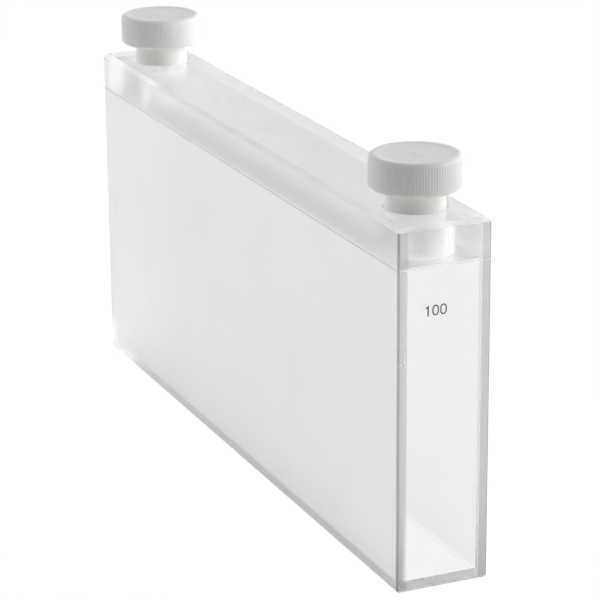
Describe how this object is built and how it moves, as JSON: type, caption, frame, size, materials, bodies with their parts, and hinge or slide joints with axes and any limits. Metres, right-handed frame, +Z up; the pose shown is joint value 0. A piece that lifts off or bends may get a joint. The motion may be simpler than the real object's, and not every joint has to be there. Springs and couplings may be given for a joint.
{
  "type": "cuvette",
  "caption": "Long clear optical cell with polished end windows, ground side walls, a solid top block and knurled stoppers in its filling bores.",
  "frame": {"origin": "middle of the cell's foot, in the plane it stands on", "axes": "+X along the light path towards the marked window, +Y across the cell, +Z up"},
  "size_m": [0.1024, 0.0126, 0.0541],
  "materials": {
    "polished_silica": "optically polished fused silica, clear",
    "ground_silica": "fine ground fused silica, matt and translucent",
    "white_ptfe": "turned white fluoropolymer, waxy satin"
  },
  "bodies": {
    "cell": {"front_window": "polished_silica", "rear_window": "polished_silica", "left_wall": "ground_silica", "right_wall": "ground_silica", "base_plate": "ground_silica", "top_block": "polished_silica"},
    "front_plug": {"front_stopper": "white_ptfe"},
    "rear_plug": {"rear_stopper": "white_ptfe"}
  },
  "joints": [
    {"name": "front_stopper_lift", "type": "slide", "parent": "cell", "child": "front_plug", "axis": [0, 0, 1], "range_m": [0, 0.02]},
    {"name": "rear_stopper_lift", "type": "slide", "parent": "cell", "child": "rear_plug", "axis": [0, 0, 1], "range_m": [0, 0.02]}
  ]
}
